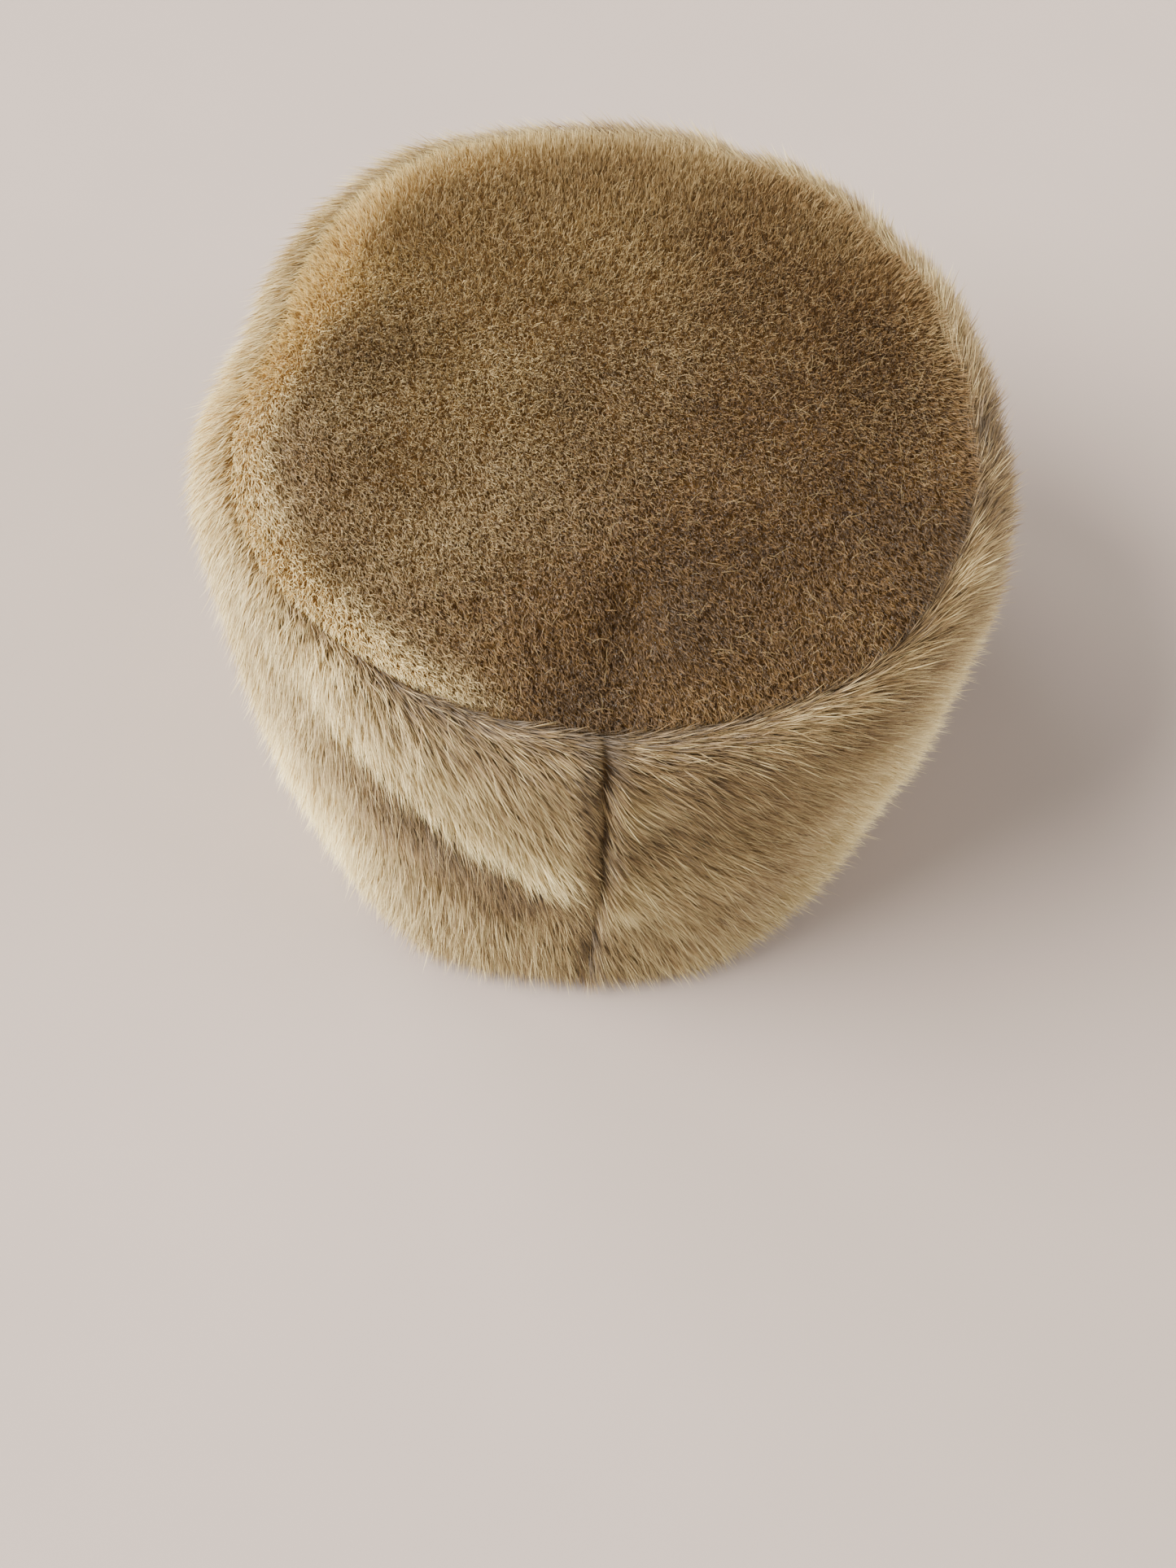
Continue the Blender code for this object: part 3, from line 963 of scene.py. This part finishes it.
class HAT_OT_band_pile(Operator):
    """Make the band's pile: blades combed round the hat and down, in four pieces."""
    bl_idname = "hat.band_pile"
    bl_label = "Band Pile"

    def execute(self, context):
        pile = context.scene.hat_pile
        fibres = BAND_FIBRES
        count = pile.band_blades
        draw = np.random.default_rng(fibres.seeds[0])
        bearing, climb, roots = band_roots(draw, count)
        normal = facing(band_face, bearing, climb, UNSEAMED)
        rise = np.clip(climb, 0.0, 1.0)
        level, down = band_ways(normal, bearing)
        across = around(bearing)
        to_seam = (1.0 - climb) / SHOULDER_SHARE * SHOULDER_RUN * MM
        from_back = across - around(back_seam_bearing(rise))
        parting, paler_seam = crown_seam(bearing)
        tuft = fibres.tuft * pile.tuft
        to_across, to_up, tuft_number = tufts(across, roots[:, 2], tuft, fibres.seeds[1])
        tuft_heart = 1.0 - np.hypot(to_across, to_up) / tuft
        wander = varied(roots, 12.0, over=26.0, table=31) + varied(roots, 9.0, over=9.0, table=32)
        wander += TUFT_TURN * (tuft_number - 0.5) + draw.normal(0.0, fibres.scatter[0], count)
        guard = draw.random(count) < pile.guard_share
        lie = np.radians(band_lie(bearing, rise) + wander)
        along = tilted(level, down, lie)

        # The fibres right of the back seam stand up against those that come over it, all but
        # the ones at the crown seam.
        beside, top = 1.5 * MM, 5.0 * MM
        lift = draw.normal(0.0, fibres.scatter[1], count) + varied(roots, 5.0, over=12.0, table=33)
        lift += near(from_back + beside, 24.0, over=2.5) * (from_back < 0.0) * (1.0 - soft(to_seam, top))
        lift += GUARD.lift * guard
        flat = soft(to_seam, SEAM_FLAT * MM) * (0.5 + 0.5 * parting)
        stands = (BAND_STANDS[0] + lift, BAND_STANDS[1] + TIP_LIFT * lift)
        first, second = (tilted(along, normal, np.radians(stand * (1.0 - share * flat)))
                         for stand, share in zip(stands, SEAM_FLATTENS))
        gather = -level * to_across[:, None] - down * to_up[:, None]
        second = unit(second + gather * (fibres.gather / ((1.0 - BEND) * pile.band_length)))

        lengths = pile.band_length * draw.uniform(*fibres.lengths, count)
        longer = 1.0 + TUFT_LONGER * tuft_heart + varied(roots, 0.08, over=15.0, table=34)
        lengths *= longer + GUARD.longer * guard
        lengths *= 1.0 - near(to_seam, 0.35, over=2.0)
        # Fibres left of the back seam end on it or just over it, the nearest ones being short.
        reach = np.cos(lie) * COVERED * lengths
        limit = np.clip(from_back, 0.0, None) + draw.uniform(*BACK_SEAM_OVER, count) * MM
        stops = (from_back > 0.0) & (limit < reach)
        least = 0.25
        lengths = np.where(stops, lengths * np.clip(limit / reach, least, 1.0), lengths)
        lengths = above_floor(draw, roots, first, second, lengths)

        # What shows at the back seam, where its groove gets painted shade: the tips on its left, and
        # the roots on its right.
        shaded = 1.0 * MM
        to_groove = np.where(from_back > 0.0, from_back - np.minimum(reach, limit), from_back + shaded)
        tip_bearing = bearing - reach / around(1.0)
        tip_rise = rise - COVERED * lengths * np.sin(lie) / BAND_HEIGHT
        tuft_tone = fibres.tuft_tone * (tuft_number - 0.5)
        tone = fibres.tone + varied(roots, 0.12, over=16.0, table=35) + tuft_tone
        # Painted light on the swells and above the creases, painted shade in the hollows and below them;
        # the spots are partly painted light and shade.
        tone += RELIEF_LIGHT_AND_SHADE * band_relief(tip_bearing, tip_rise) / MM + band_tone(tip_bearing, tip_rise)
        # Painted light along the top of the band by the crown seam, and painted shade along its parted
        # line and in the back seam's groove.
        tone += paler_seam * near(to_seam, 0.25, over=6.0)
        tone -= parting * near(to_seam, 0.5, over=1.5) + near(to_groove, 0.45, over=1.5)
        tone += draw.normal(0.0, fibres.tone_scatter, count) + GUARD.paler * guard
        widths = pile.width * draw.uniform(*fibres.widths, count) * (1.0 - GUARD.narrower * guard)
        side = rolled_side(first, normal, draw.normal(0.0, ROLL, count))
        quarter = np.floor((bearing + 180.0) / 90.0).astype(int).clip(0, 3)
        names = ("band_pile_right_front", "band_pile_right_back", "band_pile_left_back",
                 "band_pile_left_front")
        make_pile([(name, quarter == number) for number, name in enumerate(names)], "band_plush",
                  pile_material("modacrylic_pile", pile, pile.band_cast),
                  roots, first, second, side, lengths, widths, tone)
        return {"FINISHED"}


class HAT_OT_crown_pile(Operator):
    """Make the crown's pile: shorn blades that lean by the table, in two pieces."""
    bl_idname = "hat.crown_pile"
    bl_label = "Crown Pile"

    def execute(self, context):
        pile = context.scene.hat_pile
        fibres = CROWN_FIBRES
        count = pile.crown_blades
        draw = np.random.default_rng(fibres.seeds[0])
        bearing = draw.uniform(-180.0, 180.0, count)
        reach = np.sqrt(draw.random(count))
        roots = crown_face(bearing, reach, OUTER)
        normal = np.array((0.0, 0.0, 1.0)) * np.ones((count, 1))
        outward = unit(roots * (1.0, 1.0, 0.0))
        from_edge = (1.0 / np.maximum(reach, 0.001) - 1.0) * np.hypot(roots[:, 0], roots[:, 1])
        parting, paler_seam = crown_seam(bearing)
        to_across, to_up, tuft_number = tufts(roots[:, 0], roots[:, 1], fibres.tuft * pile.tuft,
                                              fibres.seeds[1])

        lean, turn, paler = crown_lie(roots[:, 0], roots[:, 1])
        turn = turn + varied(roots, 12.0, over=24.0, table=41)
        lean = lean + varied(roots, 7.0, over=18.0, table=42)
        turn = np.radians(turn + draw.normal(0.0, fibres.scatter[0], count))
        lean = np.radians(lean + draw.normal(0.0, fibres.scatter[1], count))
        ways = [np.stack([-np.sin(lean + bent) * np.sin(turn), np.sin(lean + bent) * np.cos(turn),
                          np.cos(lean + bent)], axis=1) for bent in CROWN_BENDS]
        fan = near(from_edge, 0.7, over=6.0) * (1.0 - parting)
        scatter = draw.normal(0.0, CROWN_SCATTER, (count, 3)) + outward * fan[:, None]
        first, second = (unit(way + scatter) for way in ways)
        gather = np.stack([to_across, to_up, np.zeros(count)], axis=1)
        second = unit(second + gather * (fibres.gather / ((1.0 - BEND) * pile.crown_length)))

        lengths = pile.crown_length * draw.uniform(*fibres.lengths, count)
        lengths *= 1.0 + varied(roots, 0.06, over=18.0, table=43)
        # The fringe ends near the seam: a fibre that reaches further past it is cut shorter.
        travel = np.sum((BEND * first + (1.0 - BEND) * second) * outward, axis=1)
        room = from_edge + CROWN_OVER[0] * MM + CROWN_OVER[1] * MM * (1.0 - parting)
        least = 0.3 * lengths
        lengths = np.minimum(lengths, np.maximum(room / np.maximum(travel, 0.01), least))

        tuft_tone = fibres.tuft_tone * (tuft_number - 0.5)
        # The table's paler share is partly painted light and shade.
        tone = fibres.tone + paler + varied(roots, 0.08, over=22.0, table=44) + tuft_tone
        # Painted light on the crown's margin along the seam, and painted shade along its parted line.
        tone += paler_seam * near(from_edge, 1.0, over=7.5)
        tone -= parting * near(from_edge, 0.6, over=1.6)
        tone += draw.normal(0.0, fibres.tone_scatter, count)
        widths = pile.width * draw.uniform(*fibres.widths, count)
        # Upright fibres show every side, and lying ones their upper side.
        upright_roll = 1.5
        roll = draw.normal(0.0, ROLL, count) * (1.0 + upright_roll * np.cos(lean))
        side = rolled_side(first, normal, roll)
        on_left = roots[:, 0] >= 0.0
        # The crown's copy of the pile material, whose cast is partly painted shade.
        make_pile((("crown_pile_left", on_left), ("crown_pile_right", ~on_left)), "crown_plush",
                  pile_material("modacrylic_pile_shorn", pile, pile.crown_cast_and_shade),
                  roots, first, second, side, lengths, widths, tone)
        return {"FINISHED"}


class HAT_OT_stray_hairs(Operator):
    """Make the few long hairs that stand out of the pile: thin ribbons that curl over it."""
    bl_idname = "hat.stray_hairs"
    bl_label = "Stray Hairs"

    def execute(self, context):
        pile = context.scene.hat_pile
        material = pile_material("modacrylic_stray_hair", pile, pile.band_cast)
        count = pile.stray_hairs // 2
        width = 0.3 * pile.width
        draw = np.random.default_rng(13)
        # The normals point out of the band but into the crown, whose reach grows outwards.
        for name, slot, surface, top, turned in (
                ("stray_hairs_band", "band_plush", band_face, 0.9, 1.0),
                ("stray_hairs_crown", "crown_plush", crown_face, 0.97, -1.0)):
            bearing = draw.uniform(-180.0, 180.0, count)
            place = np.sqrt(draw.uniform(0.02, top ** 2, count))
            normal = turned * facing(surface, bearing, place, UNSEAMED)
            starts = surface(bearing, place, UNSEAMED) + normal * UNSEAMED.side_depth
            heading = draw.uniform(0.0, 2.0 * math.pi, count)
            curl = draw.normal(0.0, 0.6, count)
            lengths = draw.uniform(2.0, 7.0, count) * MM
            lifts = draw.uniform(0.2, 1.2, count) * MM
            piece = make_ribbons(name, starts, normal, heading, curl, lengths, lifts, width)
            finish_piece(piece, (material,))
        return {"FINISHED"}


class HAT_OT_stage(Operator):
    """Set a pale floor, soft lights and the camera."""
    bl_idname = "hat.stage"
    bl_label = "Stage"

    def execute(self, context):
        stage = context.scene.hat_stage
        corners = np.array(((-0.5, -0.5, 0.0), (0.5, -0.5, 0.0), (0.5, 0.5, 0.0), (-0.5, 0.5, 0.0)))
        floor = mesh_object("floor", stage.floor_size * corners, np.array(((0, 1, 2, 3),)))
        floor.data.materials.append(floor_material(stage))
        world = bpy.data.worlds.new("studio")
        world.use_nodes = True
        background = world.node_tree.nodes["Background"]
        background.inputs["Color"].default_value = (*linear("#f4f1ee"), 1.0)
        background.inputs["Strength"].default_value = stage.fill_strength
        context.scene.world = world
        # Each light comes in evenly from its place's direction, as from a disc this many degrees wide.
        for name, place, width, strength in (
                ("window", (1.65, 0.15, 1.08), 53.0, stage.key_strength),
                ("rim_light", (1.10, -1.16, 0.45), 31.0, stage.key_strength * 0.36),
                ("bounce", (-1.50, 0.00, 0.63), 43.0, stage.key_strength * 0.275)):
            light = bpy.data.lights.new(name, "SUN")
            light.angle = math.radians(width)
            light.energy = strength
            light.color = tuple(stage.daylight)
            lamp = bpy.data.objects.new(name, light)
            context.scene.collection.objects.link(lamp)
            lamp.location = place
            lamp.rotation_euler = lamp.location.to_track_quat("Z", "Y").to_euler()
        camera = bpy.data.objects.new("camera", bpy.data.cameras.new("camera"))
        camera.data.lens = stage.lens
        camera.data.sensor_width = 36.0
        context.scene.collection.objects.link(camera)
        stand = Matrix.Translation((stage.aside - OUTLINE_MIDDLE_X,
                                    stage.distance * math.cos(stage.elevation) - OUTLINE_MIDDLE_Y,
                                    stage.distance * math.sin(stage.elevation) + BAND_HEIGHT))
        heading = Matrix.Rotation(math.pi, 4, "Z")
        tilt = Matrix.Rotation(math.pi / 2.0 - stage.pitch, 4, "X")
        camera.matrix_world = stand @ heading @ tilt @ Matrix.Rotation(stage.roll, 4, "Z")
        context.scene.camera = camera
        return {"FINISHED"}


class HAT_PT_panel(Panel):
    """The hat's settings and the steps that make it."""
    bl_idname = "HAT_PT_panel"
    bl_label = "Pillbox Hat"
    bl_space_type = "VIEW_3D"
    bl_region_type = "UI"
    bl_category = "Hat"

    def draw(self, context):
        for step in STEPS:
            self.layout.operator(step.bl_idname)
        for settings in (context.scene.hat_pile, context.scene.hat_fabric, context.scene.hat_stage):
            box = self.layout.box()
            for name in settings.bl_rna.properties.keys():
                if name not in ("rna_type", "name"):
                    box.prop(settings, name)


STEPS = (HAT_OT_stage, HAT_OT_band_skin, HAT_OT_crown_skin, HAT_OT_band_pile, HAT_OT_crown_pile,
         HAT_OT_stray_hairs)
SETTINGS = {"hat_pile": HatPile, "hat_fabric": HatFabric, "hat_stage": HatStage}


def register():
    """Register the classes and hang the settings on the scene."""
    for cls in (*SETTINGS.values(), *STEPS, HAT_PT_panel):
        bpy.utils.register_class(cls)
    for name, group in SETTINGS.items():
        setattr(bpy.types.Scene, name, PointerProperty(type=group))


def unregister():
    """Take the settings and the classes away again."""
    for name in SETTINGS:
        delattr(bpy.types.Scene, name)
    for cls in reversed((*SETTINGS.values(), *STEPS, HAT_PT_panel)):
        bpy.utils.unregister_class(cls)


def main():
    """Make every piece in order."""
    register()
    for step in STEPS:
        group, name = step.bl_idname.split(".")
        getattr(getattr(bpy.ops, group), name)()


if __name__ == "__main__":
    main()
